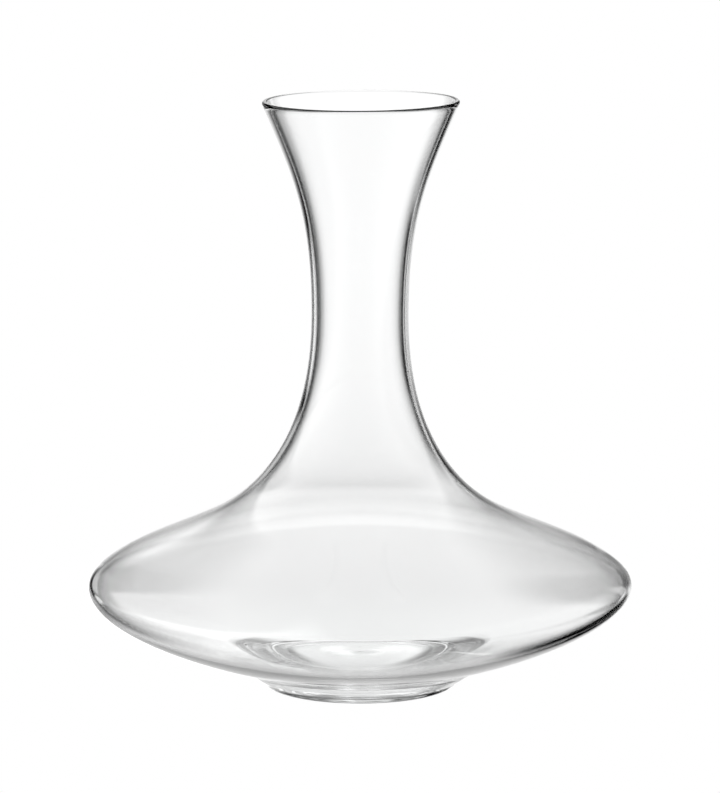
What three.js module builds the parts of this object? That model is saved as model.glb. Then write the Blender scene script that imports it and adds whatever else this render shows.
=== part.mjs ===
// A wide-bottomed wine decanter of clear blown glass, in millimetres.
//
// +Z is up and is the axis of revolution. The origin is the middle of the standing ring, on the
// surface that the decanter stands on.
//
// The decanter is two gathers of glass, fused while hot: the vessel, which is blown thin, and the
// foot, a solid disc stuck under it. Both are turned solids. Each outline is written as points of
// radius (x) and height (y), and is spun round the axis at the end.

import * as THREE from 'three';

// Fineness of the solids.
const SIDES = 64;
const CURVE_STEPS = 6;
const EDGE_STEPS = 4;
const LIP_STEPS = 8;

// The clear space between two pieces that touch.
const GAP = 0.3;

// The vessel's outer outline runs through these stations, from the middle of its underside up to
// its rim. At each one the outline passes in the direction "heading", in degrees from straight
// up and positive away from the axis. "before" and "after" say how far it keeps to that
// direction on each side, and "wall" is the glass's thickness there.
const UNDERSIDE = { radius: 0, height: 3.6, heading: 90, after: 30 };
const JOINT = { radius: 51.8, height: 9.8, heading: 74.3, before: 10, after: 28.9, wall: 2.2 };
const BELLY = { radius: 110, height: 41.5, heading: 0, before: 11.5, after: 10.8, wall: 1.8 };
const SHOULDER = { radius: 55.5, height: 72.8, heading: -58.5, before: 20.7, after: 11.9, wall: 1.6 };
const WAIST = { radius: 19.5, height: 151.5, heading: 0, before: 54.4, after: 41.5, wall: 1.6 };
const RIM = { heading: 22.5, before: 30.8, wall: 1.9 };

// The floor inside the vessel is nearly flat, a little higher in the middle, and runs up into
// the wall's inner face above the joint.
const FLOOR_MIDDLE = { radius: 0, height: 7.6, heading: 90, after: 14 };
const FLOOR_EDGE = { radius: 26, height: 6.5, heading: 90, before: 12, after: 6 };
const FLOOR_RUN_UP = 14;

// The mouth, over its fire-polished lip.
const HEIGHT = 238.4;
const MOUTH_RADIUS = 39.5;

// The foot. Its side slopes straight in from the joint to a round edge, which turns under to the
// flat standing ring. Its underside is hollow inside that ring.
const RING_OUTER = { radius: 36.7, height: 0, heading: 90, after: 2 };
const FOOT_SIDE = { radius: 40.6, height: 2.55, heading: 57.1, before: 1.4 };
const RING_INNER_RADIUS = 31;
const HOLLOW_RISE = 0.8;

// How far out the foot reaches along the vessel's underside, as a share of it, and how far up
// its own side: it stops just short of the joint, where the two would meet in a sharp edge.
const FOOT_COVER = 0.96;
const FOOT_SIDE_COVER = 0.87;

// The lip is a half circle as thick as the wall at the rim, and the outer wall runs into it.
const lipRadius = RIM.wall / 2;
const lipCentre = new THREE.Vector2(MOUTH_RADIUS - lipRadius, HEIGHT - lipRadius);
const rimSide = directionOf(RIM.heading + 90);
const rimEnd = lipCentre.clone().addScaledVector(rimSide, lipRadius);
const rimStation = { ...RIM, radius: rimEnd.x, height: rimEnd.y };

const wallStations = [JOINT, BELLY, SHOULDER, WAIST, rimStation];

function directionOf(heading) {
  const angle = THREE.MathUtils.degToRad(heading);
  return new THREE.Vector2(Math.sin(angle), Math.cos(angle));
}

function pointOf(station) {
  return new THREE.Vector2(station.radius, station.height);
}

// The smooth stretch of outline between two stations.
function stretchBetween(from, to) {
  const start = pointOf(from);
  const end = pointOf(to);
  const startHandle = start.clone().addScaledVector(directionOf(from.heading), from.after);
  const endHandle = end.clone().addScaledVector(directionOf(to.heading), -to.before);
  return new THREE.CubicBezierCurve(start, startHandle, endHandle, end);
}

// Moves a point of a curve square to it, towards the axis side, by a distance.
function inwards(curve, t, distance) {
  const tangent = curve.getTangent(t);
  const normal = new THREE.Vector2(-tangent.y, tangent.x);
  const moved = curve.getPoint(t).addScaledVector(normal, distance);
  moved.x = Math.max(moved.x, 0);
  return moved;
}

// The vessel's wall along one face, from the joint up: depth 0 is the outer face, depth 1 is the
// inner one.
function wallFace(depth) {
  const points = [];
  for (let i = 1; i < wallStations.length; i += 1) {
    const from = wallStations[i - 1];
    const to = wallStations[i];
    const curve = stretchBetween(from, to);
    const firstStep = i === 1 ? 0 : 1;
    for (let step = firstStep; step <= CURVE_STEPS; step += 1) {
      const t = step / CURVE_STEPS;
      const thickness = THREE.MathUtils.lerp(from.wall, to.wall, t);
      points.push(inwards(curve, t, depth * thickness));
    }
  }
  return points;
}

// Points of a circle from one angle to another, in degrees from the outward radius, without
// the two end points.
function arcBetween(centre, radius, fromDegrees, toDegrees, steps) {
  const points = [];
  for (let step = 1; step < steps; step += 1) {
    const degrees = THREE.MathUtils.lerp(fromDegrees, toDegrees, step / steps);
    const angle = THREE.MathUtils.degToRad(degrees);
    const offset = new THREE.Vector2(Math.cos(angle), Math.sin(angle));
    points.push(centre.clone().addScaledVector(offset, radius));
  }
  return points;
}

// The vessel's underside, from the axis out to just before the joint.
function underside() {
  return stretchBetween(UNDERSIDE, JOINT).getPoints(CURVE_STEPS).slice(0, -1);
}

// The floor inside, from just before the wall's inner face to the axis.
function floorInside(wallStart) {
  const runUp = { radius: wallStart.x, height: wallStart.y, heading: JOINT.heading, before: FLOOR_RUN_UP };
  const middle = stretchBetween(FLOOR_MIDDLE, FLOOR_EDGE).getPoints(CURVE_STEPS);
  const edge = stretchBetween(FLOOR_EDGE, runUp).getPoints(CURVE_STEPS);
  return [...middle, ...edge.slice(1, -1)].reverse();
}

// Out along the underside, up the outside, over the lip, and down the inside to the floor.
function vesselOutline() {
  const lip = arcBetween(lipCentre, lipRadius, -RIM.heading, 180 - RIM.heading, LIP_STEPS);
  const inside = wallFace(1);
  return [...underside(), ...wallFace(0), ...lip, ...inside.toReversed(), ...floorInside(inside[0])];
}

// The foot's flat standing ring and the shallow hollow inside it, from the axis outwards.
function footUnderside() {
  const points = [];
  for (let step = 0; step < EDGE_STEPS; step += 1) {
    const share = step / EDGE_STEPS;
    points.push(new THREE.Vector2(share * RING_INNER_RADIUS, HOLLOW_RISE * (1 - share * share)));
  }
  points.push(new THREE.Vector2(RING_INNER_RADIUS, 0));
  return points;
}

// The foot's side: the round edge at the table, then straight up towards the joint.
function footSide() {
  const edge = stretchBetween(RING_OUTER, FOOT_SIDE).getPoints(EDGE_STEPS);
  const sideEnd = pointOf(FOOT_SIDE).lerp(pointOf(JOINT), FOOT_SIDE_COVER);
  return [...edge, sideEnd];
}

// The foot's top follows the vessel's underside, a gap below it, from the joint to the axis.
function footTop() {
  const curve = stretchBetween(UNDERSIDE, JOINT);
  const points = [];
  for (let step = CURVE_STEPS; step >= 0; step -= 1) {
    points.push(inwards(curve, FOOT_COVER * step / CURVE_STEPS, -GAP));
  }
  return points;
}

function footOutline() {
  return [...footUnderside(), ...footSide(), ...footTop()];
}

// Spins an outline round the axis, and stands it up along +Z.
function turned(outline) {
  const geometry = new THREE.LatheGeometry(outline, SIDES);
  geometry.rotateX(Math.PI / 2);
  return geometry;
}

function glass() {
  return new THREE.MeshStandardMaterial({
    color: 0xe9eeed,
    roughness: 0.03,
    metalness: 0,
    transparent: true,
    opacity: 0.35,
  });
}

function makeVessel() {
  const vessel = new THREE.Mesh(turned(vesselOutline()), glass());
  vessel.name = 'vessel';
  return vessel;
}

function makeFoot() {
  const foot = new THREE.Mesh(turned(footOutline()), glass());
  foot.name = 'foot';
  return foot;
}

const group = new THREE.Group();
group.add(makeVessel(), makeFoot());

export default group;
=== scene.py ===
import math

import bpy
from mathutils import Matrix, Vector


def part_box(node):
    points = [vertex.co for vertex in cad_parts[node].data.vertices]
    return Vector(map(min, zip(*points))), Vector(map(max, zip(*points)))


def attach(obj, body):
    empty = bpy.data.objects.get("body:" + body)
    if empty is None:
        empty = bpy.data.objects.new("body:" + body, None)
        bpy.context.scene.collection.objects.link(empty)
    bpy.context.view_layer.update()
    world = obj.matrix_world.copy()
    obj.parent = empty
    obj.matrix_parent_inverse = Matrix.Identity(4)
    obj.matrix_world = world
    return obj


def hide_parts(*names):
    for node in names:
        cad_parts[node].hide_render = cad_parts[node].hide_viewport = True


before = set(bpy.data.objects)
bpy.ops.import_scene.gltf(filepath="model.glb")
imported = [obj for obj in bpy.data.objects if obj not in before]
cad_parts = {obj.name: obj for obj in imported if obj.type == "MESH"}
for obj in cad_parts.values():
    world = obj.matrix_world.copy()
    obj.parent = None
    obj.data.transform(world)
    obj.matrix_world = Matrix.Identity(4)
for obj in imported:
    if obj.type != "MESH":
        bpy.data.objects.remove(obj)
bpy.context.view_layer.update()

# A clear glass wine decanter in a white studio, in metres. The frame gives its overall sizes, and
# the outline between them is repeated from the part's own source. Both pieces are turned again
# here as fine, smooth glass, with the small faults of hand-blown work.

_, vessel_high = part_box("vessel")

MM = 0.001

# ---- outline -------------------------------------------------------------------------------

# Fineness of the visible glass.
TURNS = 320
CURVE_STEPS = 48
LIP_STEPS = 16
EDGE_STEPS = 12

# A point nearer to the axis than this is on it.
ON_AXIS = 1e-7

HEIGHT = vessel_high[2]
BELLY_RADIUS = vessel_high[0]
MOUTH_RADIUS = 39.5 * MM

# The vessel's outer outline runs through these stations, from the joint with the foot up to the
# rim. "heading" is the outline's direction in degrees from straight up, positive away from the
# axis; "before" and "after" say how far it keeps to that direction; "wall" is the thickness.
JOINT = dict(radius=51.8 * MM, height=9.8 * MM, heading=74.3, after=28.9 * MM, wall=2.2 * MM)
BELLY = dict(radius=BELLY_RADIUS, height=41.5 * MM, heading=0, before=11.5 * MM, after=10.8 * MM,
             wall=1.8 * MM)
SHOULDER = dict(radius=55.5 * MM, height=72.8 * MM, heading=-58.5, before=20.7 * MM,
                after=11.9 * MM, wall=1.6 * MM)
WAIST = dict(radius=19.5 * MM, height=151.5 * MM, heading=0, before=54.4 * MM, after=41.5 * MM,
             wall=1.6 * MM)
RIM = dict(heading=22.5, before=30.8 * MM, wall=1.9 * MM)

# The floor inside the vessel, from its middle to where it runs up into the wall.
FLOOR_MIDDLE = dict(radius=0, height=7.6 * MM, heading=90, after=14 * MM)
FLOOR_EDGE = dict(radius=26 * MM, height=6.5 * MM, heading=90, before=12 * MM, after=6 * MM)
FLOOR_RUN_UP = 14 * MM

# The foot, from the hollow under it over the standing ring and up its side.
RING_INNER = 31 * MM
HOLLOW_RISE = 0.8 * MM
RING_OUTER = dict(radius=36.7 * MM, height=0, heading=90, after=2 * MM)
FOOT_SIDE = dict(radius=40.6 * MM, height=2.55 * MM, heading=57.1, before=1.4 * MM)

# The fused joint: the fillet between the foot and the bowl reaches this far to each side of the
# corner, and the unseen face between the two gathers rises from the middle to the fillet's end.
FILLET = 3.6 * MM
FILLET_PULL = 0.6
FUSED_MIDDLE = 3.6 * MM
FUSED_GAP = 0.02 * MM


def direction(heading):
    angle = math.radians(heading)
    return Vector((math.sin(angle), math.cos(angle)))


def place(station):
    return Vector((station["radius"], station["height"]))


def curve_point(handles, t):
    a, b, c, d = handles
    s = 1 - t
    return a * s**3 + b * (3 * s * s * t) + c * (3 * s * t * t) + d * t**3


def curve_tangent(handles, t):
    a, b, c, d = handles
    s = 1 - t
    slope = (b - a) * (3 * s * s) + (c - b) * (6 * s * t) + (d - c) * (3 * t * t)
    return slope.normalized()


def curve_between(start, end):
    first = place(start)
    last = place(end)
    leaving = first + direction(start["heading"]) * start["after"]
    arriving = last - direction(end["heading"]) * end["before"]
    return (first, leaving, arriving, last)


def curve_points(handles, steps):
    return [curve_point(handles, step / steps) for step in range(steps + 1)]


def smooth(low, high, value):
    t = min(1.0, max(0.0, (value - low) / (high - low)))
    return t * t * (3 - 2 * t)


def mix(a, b, t):
    return a + (b - a) * t


def rim_station():
    radius = RIM["wall"] / 2
    centre = Vector((MOUTH_RADIUS - radius, HEIGHT - radius))
    end = centre + direction(RIM["heading"] + 90) * radius
    return centre, dict(RIM, radius=end.x, height=end.y)


def wall_faces():
    """The outer and the inner face of the vessel's wall, from the joint up to the rim."""
    _, rim = rim_station()
    stations = [JOINT, BELLY, SHOULDER, WAIST, rim]
    outer, inner = [], []
    for start, end in zip(stations, stations[1:]):
        handles = curve_between(start, end)
        first = 0 if start is JOINT else 1
        for step in range(first, CURVE_STEPS + 1):
            t = step / CURVE_STEPS
            point = curve_point(handles, t)
            tangent = curve_tangent(handles, t)
            thickness = mix(start["wall"], end["wall"], smooth(0, 1, t))
            outer.append(point)
            inner.append(point + Vector((-tangent.y, tangent.x)) * thickness)
    return outer, inner


def lip():
    """The fire-polished half circle that joins the two faces at the rim."""
    centre, _ = rim_station()
    points = []
    for step in range(1, LIP_STEPS):
        angle = math.radians(180 * step / LIP_STEPS - RIM["heading"])
        points.append(centre + Vector((math.cos(angle), math.sin(angle))) * (RIM["wall"] / 2))
    return points


def floor_inside(wall_start):
    """The floor, from just inside the wall's inner face to the axis."""
    run_up = dict(radius=wall_start.x, height=wall_start.y, heading=JOINT["heading"],
                  before=FLOOR_RUN_UP)
    middle = curve_points(curve_between(FLOOR_MIDDLE, FLOOR_EDGE), CURVE_STEPS)
    edge = curve_points(curve_between(FLOOR_EDGE, run_up), CURVE_STEPS)
    return (middle + edge[1:-1])[::-1]


def foot_skin(fillet_end, bowl_heading):
    """The foot's outline: hollow, standing ring, round edge, side, and fillet into the bowl."""
    points = []
    for step in range(CURVE_STEPS):
        share = step / CURVE_STEPS
        points.append(Vector((share * RING_INNER, HOLLOW_RISE * (1 - share * share))))
    for step in range(EDGE_STEPS):
        points.append(Vector((mix(RING_INNER, RING_OUTER["radius"], step / EDGE_STEPS), 0)))
    points.extend(curve_points(curve_between(RING_OUTER, FOOT_SIDE), EDGE_STEPS))
    side_start = points[-1]
    corner = place(JOINT)
    side = (corner - side_start).normalized()
    fillet_start = corner - side * FILLET
    for step in range(1, EDGE_STEPS):
        points.append(side_start.lerp(fillet_start, step / EDGE_STEPS))
    leaving = fillet_start + side * (FILLET * FILLET_PULL)
    arriving = fillet_end - bowl_heading * (FILLET * FILLET_PULL)
    points.extend(curve_points((fillet_start, leaving, arriving, fillet_end), EDGE_STEPS))
    return points


def fused_face(edge, gap):
    """Where the vessel and the foot are one glass, from the axis out to the fillet's end."""
    points = []
    for step in range(CURVE_STEPS + 1):
        share = step / CURVE_STEPS
        height = mix(FUSED_MIDDLE, edge.y, share**3)
        points.append(Vector((share * edge.x, height - gap * (1 - share))))
    return points


# ---- hand-blown form -----------------------------------------------------------------------

# How far each part is off true, as slopes.
BOWL_TILT = 0.007
SHOULDER_TILT = 0.0018
NECK_LEAN = 0.0043
MOUTH_TILT = 0.007

# The heights in millimetres between which each of these sets in or dies away, and the height at
# which the leaning neck crosses the true axis.
BOWL_SETS_IN = (6, 14)
BOWL_TO_SHOULDER = (32, 50)
SHOULDER_DIES_AWAY = (60, 85)
NECK_SETS_IN = (55, 95)
NECK_CROSSES_AXIS = 150 * MM
MOUTH_SETS_IN = (190, 235)


def blown(point):
    """Moves a point of the true solid of revolution to where the glass really is."""
    x, y, z = point
    height = z / MM
    past_bowl = smooth(*BOWL_TO_SHOULDER, height)
    in_bowl = smooth(*BOWL_SETS_IN, height) * (1 - past_bowl)
    in_shoulder = past_bowl * (1 - smooth(*SHOULDER_DIES_AWAY, height))
    tilt = BOWL_TILT * in_bowl + SHOULDER_TILT * in_shoulder
    lean = NECK_LEAN * (z - NECK_CROSSES_AXIS) * smooth(*NECK_SETS_IN, height)
    dip = MOUTH_TILT * (MOUTH_RADIUS - x) * smooth(*MOUTH_SETS_IN, height)
    return (x + lean, y, z + tilt * x - dip)


# ---- mesh ----------------------------------------------------------------------------------

def ring_points(point):
    if point.x < ON_AXIS:
        return [blown((0, 0, point.y))]
    ring = []
    for turn in range(TURNS):
        angle = 2 * math.pi * turn / TURNS
        ring.append(blown((point.x * math.cos(angle), point.x * math.sin(angle), point.y)))
    return ring


def band_faces(lower, upper):
    """The faces between two rings, each given as (first vertex, vertex count)."""
    faces = []
    low, low_count = lower
    high, high_count = upper
    for turn in range(TURNS):
        after = (turn + 1) % TURNS
        if low_count == 1:
            faces.append((low, high + after, high + turn))
        elif high_count == 1:
            faces.append((low + turn, low + after, high))
        else:
            faces.append((low + turn, low + after, high + after, high + turn))
    return faces


def turned(name, skin, fused, materials):
    """A closed solid of revolution: its skin, then the face where it is fused."""
    verts, rings = [], []
    for point in skin + fused[1:]:
        ring = ring_points(point)
        rings.append((len(verts), len(ring)))
        verts.extend(ring)
    faces, slots = [], []
    for index in range(len(rings) - 1):
        band = band_faces(rings[index], rings[index + 1])
        faces.extend(band)
        slots.extend([0 if index < len(skin) - 1 else 1] * len(band))
    mesh = bpy.data.meshes.new(name)
    mesh.from_pydata(verts, [], faces)
    mesh.polygons.foreach_set("material_index", slots)
    mesh.polygons.foreach_set("use_smooth", [True] * len(faces))
    for material in materials:
        mesh.materials.append(material)
    return mesh, rings


def finished(name, mesh, seam_rings):
    """Keeps the seam between skin and fused face sharp, and puts the mesh in the scene."""
    seam = set()
    for first, count in seam_rings:
        seam.update(range(first, first + count))
    for edge in mesh.edges:
        if edge.vertices[0] in seam and edge.vertices[1] in seam:
            edge.use_edge_sharp = True
    mesh.update()
    piece = bpy.data.objects.new(name, mesh)
    bpy.context.scene.collection.objects.link(piece)
    return piece


# ---- node helpers --------------------------------------------------------------------------

def add_node(tree, kind, **settings):
    node = tree.nodes.new(kind)
    for key, value in settings.items():
        setattr(node, key, value)
    return node


def feed(tree, socket, value):
    """Gives an input a number, or joins another node's output to it."""
    if isinstance(value, bpy.types.NodeSocket):
        tree.links.new(value, socket)
    else:
        socket.default_value = value


def maths(tree, operation, *values):
    node = add_node(tree, "ShaderNodeMath", operation=operation)
    for socket, value in zip(node.inputs, values):
        feed(tree, socket, value)
    return node.outputs[0]


def soft_step(tree, value, low, high, start=0.0, end=1.0):
    """Goes smoothly from start to end as the value goes from low to high."""
    node = add_node(tree, "ShaderNodeMapRange", interpolation_type="SMOOTHSTEP")
    limits = {"From Min": low, "From Max": high, "To Min": start, "To Max": end}
    for name, number in limits.items():
        feed(tree, node.inputs[name], number)
    feed(tree, node.inputs["Value"], value)
    return node.outputs["Result"]


def blend(tree, share, first, second):
    node = add_node(tree, "ShaderNodeMix", data_type="FLOAT")
    feed(tree, node.inputs[0], share)
    feed(tree, node.inputs[2], first)
    feed(tree, node.inputs[3], second)
    return node.outputs[0]


# ---- materials -----------------------------------------------------------------------------

GLASS_IOR = 1.52


def glass_shader(name):
    material = bpy.data.materials.new(name)
    material.use_nodes = True
    tree = material.node_tree
    shader = tree.nodes["Principled BSDF"]
    shader.inputs["Transmission Weight"].default_value = 1.0
    shader.inputs["IOR"].default_value = GLASS_IOR
    return material, tree, shader


def around_axis(tree):
    """A place on a turned piece as (distance from the axis, height), in metres."""
    coordinates = add_node(tree, "ShaderNodeTexCoord").outputs["Object"]
    parts = add_node(tree, "ShaderNodeSeparateXYZ")
    feed(tree, parts.inputs[0], coordinates)
    squares = maths(tree, "ADD", maths(tree, "POWER", parts.outputs["X"], 2.0),
                    maths(tree, "POWER", parts.outputs["Y"], 2.0))
    return coordinates, maths(tree, "SQRT", squares), parts.outputs["Z"]


def stretched_noise(tree, coordinates, scale, detail):
    """Noise with its own number of features per metre along each axis."""
    spread = add_node(tree, "ShaderNodeVectorMath", operation="MULTIPLY")
    feed(tree, spread.inputs[0], coordinates)
    spread.inputs[1].default_value = scale
    texture = add_node(tree, "ShaderNodeTexNoise")
    texture.inputs["Scale"].default_value = 1.0
    texture.inputs["Detail"].default_value = detail
    feed(tree, texture.inputs["Vector"], spread.outputs[0])
    return texture.outputs["Fac"]


def bumped(tree, shader, height, depth):
    bump = add_node(tree, "ShaderNodeBump")
    bump.inputs["Strength"].default_value = 1.0
    bump.inputs["Distance"].default_value = depth
    feed(tree, bump.inputs["Height"], height)
    feed(tree, shader.inputs["Normal"], bump.outputs["Normal"])


def tinted(tree, shader, share, thin, thick):
    colour = add_node(tree, "ShaderNodeMix", data_type="RGBA")
    feed(tree, colour.inputs[0], share)
    colour.inputs[6].default_value = thin
    colour.inputs[7].default_value = thick
    feed(tree, shader.inputs["Base Color"], colour.outputs[2])


THIN_TINT = (0.996, 0.998, 0.998, 1)
THICK_TINT = (0.978, 0.990, 0.986, 1)

# Waves, spots and scratches are given as features per metre along X, Y and Z.
BLOWN_WAVES = (14.0, 14.0, 32.0)
BLOWN_DEPTH = 0.05 * MM
THICK_BELOW = 9 * MM
THIN_ABOVE = 24 * MM
FILM_SPOTS = (45.0, 45.0, 45.0)
FILM_NOISE = (0.62, 0.80)
FILM_ROUGHNESS = 0.02


def vessel_glass():
    """Blown soda glass: long soft waves from the blowing, and a tint where it is thick."""
    material, tree, shader = glass_shader("vessel_glass")
    coordinates, _, height = around_axis(tree)
    waves = stretched_noise(tree, coordinates, BLOWN_WAVES, 1.0)
    bumped(tree, shader, waves, BLOWN_DEPTH)
    thick = soft_step(tree, height, THICK_BELOW, THIN_ABOVE, 1.0, 0.0)
    tinted(tree, shader, thick, THIN_TINT, THICK_TINT)
    film = stretched_noise(tree, coordinates, FILM_SPOTS, 3.0)
    roughness = soft_step(tree, film, *FILM_NOISE, 0.0, FILM_ROUGHNESS)
    feed(tree, shader.inputs["Roughness"], roughness)
    return material


SHAPED_WAVES = (60.0, 60.0, 60.0)
SHAPED_DEPTH = 0.02 * MM
WORN_BELOW = (0.02 * MM, 0.10 * MM)
WORN_OUTSIDE = (RING_INNER - 0.6 * MM, RING_INNER + 0.4 * MM)
RING_ROUGHNESS = 0.28
RING_SCRATCHES = (900.0, 2600.0, 400.0)
SCRATCH_NOISE = (0.35, 0.65)
LEAST_WEAR = 0.4
SCRATCH_SHARE = 0.12
THICK_INSIDE = 30 * MM
THIN_OUTSIDE = 52 * MM
LEAST_TINT = 0.4


def foot_glass():
    """Solid glass shaped hot, its flat standing ring worn satin and finely scratched."""
    material, tree, shader = glass_shader("foot_glass")
    coordinates, radius, height = around_axis(tree)
    on_ring = maths(tree, "MULTIPLY", soft_step(tree, height, *WORN_BELOW, 1.0, 0.0),
                    soft_step(tree, radius, *WORN_OUTSIDE))
    scratches = stretched_noise(tree, coordinates, RING_SCRATCHES, 2.0)
    wear = soft_step(tree, scratches, *SCRATCH_NOISE, LEAST_WEAR, 1.0)
    worn = maths(tree, "MULTIPLY", on_ring, wear)
    feed(tree, shader.inputs["Roughness"], maths(tree, "MULTIPLY", worn, RING_ROUGHNESS))
    soft_waves = stretched_noise(tree, coordinates, SHAPED_WAVES, 1.0)
    marks = maths(tree, "MULTIPLY", worn, SCRATCH_SHARE)
    bumped(tree, shader, maths(tree, "ADD", soft_waves, marks), SHAPED_DEPTH)
    thick = soft_step(tree, radius, THICK_INSIDE, THIN_OUTSIDE, 1.0, LEAST_TINT)
    tinted(tree, shader, thick, THIN_TINT, THICK_TINT)
    return material


def fused_glass():
    """The unseen face where two gathers are one glass: light goes straight through."""
    material = bpy.data.materials.new("fused_glass")
    material.use_nodes = True
    tree = material.node_tree
    tree.nodes.clear()
    clear = add_node(tree, "ShaderNodeBsdfTransparent")
    output = add_node(tree, "ShaderNodeOutputMaterial")
    tree.links.new(clear.outputs[0], output.inputs["Surface"])
    return material


# ---- pieces --------------------------------------------------------------------------------

outer, inner = wall_faces()
corner = place(JOINT)
seam_index = next(i for i, point in enumerate(outer) if (point - corner).length > FILLET)
bowl_skin = outer[seam_index:]
bowl_heading = (bowl_skin[1] - bowl_skin[0]).normalized()
vessel_skin = bowl_skin + lip() + inner[::-1] + floor_inside(inner[0])
joint_face = fused_glass()


def make_vessel():
    face = fused_face(bowl_skin[0], 0)
    mesh, rings = turned("blown_vessel", vessel_skin, face, [vessel_glass(), joint_face])
    return finished("blown_vessel", mesh, [rings[0], rings[-1], rings[len(vessel_skin) - 1]])


def make_foot():
    skin = foot_skin(bowl_skin[0], bowl_heading)
    face = fused_face(bowl_skin[0], FUSED_GAP)[::-1]
    mesh, rings = turned("solid_foot", skin, face, [foot_glass(), joint_face])
    return finished("solid_foot", mesh, [rings[len(skin) - 1]])


vessel = make_vessel()
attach(vessel, "root")
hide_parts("vessel")

foot = make_foot()
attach(foot, "root")
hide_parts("foot")

# ---- studio --------------------------------------------------------------------------------

# The light is given by the way it comes from: azimuth in degrees from the far side of the
# decanter (+Y) towards +X, and elevation in degrees above the horizon. A pair of angles is where
# a soft edge starts and ends. Strengths are shares of plain white. Light that the glass only
# bends comes from the first of two surroundings, and light that it has reflected comes from the
# second, so the two together aren't one real room.

# What is seen straight through the glass: a bright screen beyond the decanter, with a narrow
# black flag on each side of it that draws the decanter's edges dark, and white all round from
# there on. Screen and white are a little brighter in their upper part. All three have the same
# soft lower and upper edge, with a brighter surround below and a dimmer one above.
SCREEN_HALF_WIDTH = (3.4, 13.5)
FLAGS_END = (15, 22)
SCREEN_BOTTOM = (-50, -36)
SCREEN_TOP = (8, 16)
SCREEN_LIGHT = (1.0, 1.11)
SCREEN_BRIGHTENS = (-12, -8)
BELOW_SCREEN = 1.2
ABOVE_SCREEN = 0.5

# What is seen reflected in the glass: a room that is bright beyond the decanter and dim behind
# the camera, with a dimmer ceiling and ground, black flags, and small panels of light. Flags and
# panels are ovals, and their width and height are measured from the middle. "black" is the share
# of the light that a flag keeps out, and "softness" is how gradual its edge is. A panel fades
# between the two squared distances of PANEL_EDGE, where 1 is its outline.
ROOM_BEHIND = 0.3
ROOM_BEYOND = 0.91
ROOM_TURNS_DIM = (66, 175)
CEILING = 0.39
CEILING_STARTS = (33, 58)
GROUND = 0.39
GROUND_ENDS = (-52, -35)
FLAGS = (
    dict(azimuth=-72, elevation=-26, width=52, height=31, softness=0.43, black=1.0),
    dict(azimuth=53, elevation=-8, width=18, height=11, softness=0.35, black=1.0),
    dict(azimuth=28, elevation=-29, width=18, height=19, softness=0.35, black=1.0),
    dict(azimuth=-26, elevation=19, width=10, height=28, softness=0.55, black=1.0),
    dict(azimuth=34, elevation=18, width=21, height=28, softness=0.55, black=1.0),
    dict(azimuth=15, elevation=4, width=10, height=13, softness=0.35, black=0.73),
    dict(azimuth=-35, elevation=1, width=26, height=17, softness=0.45, black=1.0),
)
PANELS = (
    dict(azimuth=-37, elevation=-7, width=5.5, height=5.6, light=1.19),
    dict(azimuth=33, elevation=1, width=4.5, height=17.0, light=0.7),
    dict(azimuth=-24, elevation=3, width=10.5, height=4.1, light=0.6),
    dict(azimuth=6, elevation=21, width=4.0, height=20.0, light=0.9),
    dict(azimuth=-6, elevation=-14, width=4.0, height=4.0, light=1.2),
)
PANEL_EDGE = (0.3, 1.7)

# A ray that has been reflected at least once has a glossy depth above this.
NOT_REFLECTED = 0.5


def light_direction(tree):
    coordinates = add_node(tree, "ShaderNodeTexCoord").outputs["Generated"]
    parts = add_node(tree, "ShaderNodeSeparateXYZ")
    feed(tree, parts.inputs[0], coordinates)
    turn = maths(tree, "ARCTAN2", parts.outputs["X"], parts.outputs["Y"])
    rise = maths(tree, "ARCSINE", parts.outputs["Z"])
    return maths(tree, "DEGREES", turn), maths(tree, "DEGREES", rise)


def seen_through(tree, azimuth, elevation):
    aside = maths(tree, "ABSOLUTE", azimuth)
    light = soft_step(tree, elevation, *SCREEN_BRIGHTENS, *SCREEN_LIGHT)
    in_view = maths(tree, "ADD", soft_step(tree, aside, *SCREEN_HALF_WIDTH, 1.0, 0.0),
                    soft_step(tree, aside, *FLAGS_END))
    band = maths(tree, "MULTIPLY", light, in_view)
    above_bottom = soft_step(tree, elevation, *SCREEN_BOTTOM)
    below_top = soft_step(tree, elevation, *SCREEN_TOP, 1.0, 0.0)
    surround = soft_step(tree, elevation, SCREEN_BOTTOM[1], SCREEN_TOP[0],
                         BELOW_SCREEN, ABOVE_SCREEN)
    return blend(tree, maths(tree, "MULTIPLY", above_bottom, below_top), surround, band)


def away_from(tree, azimuth, elevation, shape):
    """The squared distance from the middle of an oval, which is 1 all along its outline."""
    across = maths(tree, "SUBTRACT", azimuth, shape["azimuth"])
    across = maths(tree, "DIVIDE", across, shape["width"])
    up = maths(tree, "SUBTRACT", elevation, shape["elevation"])
    up = maths(tree, "DIVIDE", up, shape["height"])
    return maths(tree, "ADD", maths(tree, "POWER", across, 2.0), maths(tree, "POWER", up, 2.0))


def past_flag(tree, azimuth, elevation, shape):
    """How much light passes a black flag: none in its middle, all of it outside."""
    away = away_from(tree, azimuth, elevation, shape)
    edge = shape["softness"]
    return soft_step(tree, away, 1 - edge, 1 + edge, 1 - shape["black"], 1.0)


def panel_light(tree, azimuth, elevation, shape):
    away = away_from(tree, azimuth, elevation, shape)
    return soft_step(tree, away, *PANEL_EDGE, shape["light"], 0.0)


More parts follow.
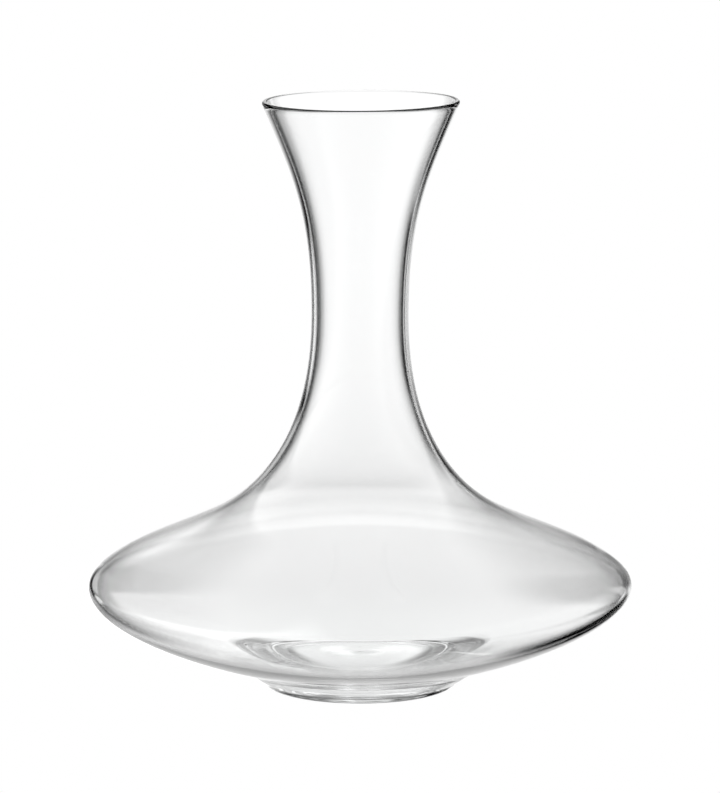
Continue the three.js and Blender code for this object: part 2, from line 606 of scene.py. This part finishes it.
def reflected(tree, azimuth, elevation):
    aside = maths(tree, "ABSOLUTE", azimuth)
    beyond = soft_step(tree, elevation, *CEILING_STARTS, ROOM_BEYOND, CEILING)
    beyond = blend(tree, soft_step(tree, elevation, *GROUND_ENDS), GROUND, beyond)
    room = blend(tree, soft_step(tree, aside, *ROOM_TURNS_DIM), beyond, ROOM_BEHIND)
    for shape in FLAGS:
        room = maths(tree, "MULTIPLY", room, past_flag(tree, azimuth, elevation, shape))
    for shape in PANELS:
        room = maths(tree, "ADD", room, panel_light(tree, azimuth, elevation, shape))
    return room


def studio_world():
    """White to the camera itself, and one surrounding each for bent and for reflected light."""
    world = bpy.data.worlds.new("studio")
    bpy.context.scene.world = world
    world.use_nodes = True
    tree = world.node_tree
    azimuth, elevation = light_direction(tree)
    path = add_node(tree, "ShaderNodeLightPath")
    mirrored = maths(tree, "GREATER_THAN", path.outputs["Glossy Depth"], NOT_REFLECTED)
    light = blend(tree, mirrored, seen_through(tree, azimuth, elevation),
                  reflected(tree, azimuth, elevation))
    shown = blend(tree, path.outputs["Is Camera Ray"], light, 1.0)
    feed(tree, tree.nodes["Background"].inputs["Strength"], shown)
    tree.nodes["Background"].inputs["Color"].default_value = (1, 1, 1, 1)


# The floor reaches this far from the axis to each side, and lies just under the standing ring.
FLOOR_REACH = 6.0
FLOOR_DROP = 0.2 * MM


def white_floor():
    """A white sweep that only the camera sees."""
    corners = [(x * FLOOR_REACH, y * FLOOR_REACH, -FLOOR_DROP)
               for x, y in ((-1, -1), (1, -1), (1, 1), (-1, 1))]
    mesh = bpy.data.meshes.new("studio_floor")
    mesh.from_pydata(corners, [], [(0, 1, 2, 3)])
    material = bpy.data.materials.new("white_sweep")
    material.use_nodes = True
    tree = material.node_tree
    tree.nodes.clear()
    glow = add_node(tree, "ShaderNodeEmission")
    output = add_node(tree, "ShaderNodeOutputMaterial")
    tree.links.new(glow.outputs[0], output.inputs["Surface"])
    mesh.materials.append(material)
    floor = bpy.data.objects.new("studio_floor", mesh)
    bpy.context.scene.collection.objects.link(floor)
    floor.visible_glossy = False
    floor.visible_transmission = False
    floor.visible_diffuse = False
    floor.visible_shadow = False


# The camera stands almost two metres away and above the rim, and looks down by the angle given
# here in radians. Sensor and lens are in millimetres.
CAMERA_PLACE = (0, -1.898, 0.444)
CAMERA_DOWN = 0.170
SENSOR = 36
LENS = 216.9


def studio_camera():
    data = bpy.data.cameras.new("camera")
    camera = bpy.data.objects.new("camera", data)
    bpy.context.scene.collection.objects.link(camera)
    camera.location = CAMERA_PLACE
    camera.rotation_euler = (math.pi / 2 - CAMERA_DOWN, 0, 0)
    data.sensor_width = SENSOR
    data.lens = LENS
    data.clip_start = 0.01
    bpy.context.scene.camera = camera


white_floor()
studio_world()
studio_camera()
bpy.context.scene.view_settings.view_transform = "Standard"

# Light crosses many faces in the foot before it leaves.
bounces = bpy.context.scene.cycles
bounces.max_bounces = 24
bounces.transmission_bounces = 24
bounces.glossy_bounces = 20
bounces.transparent_max_bounces = 64
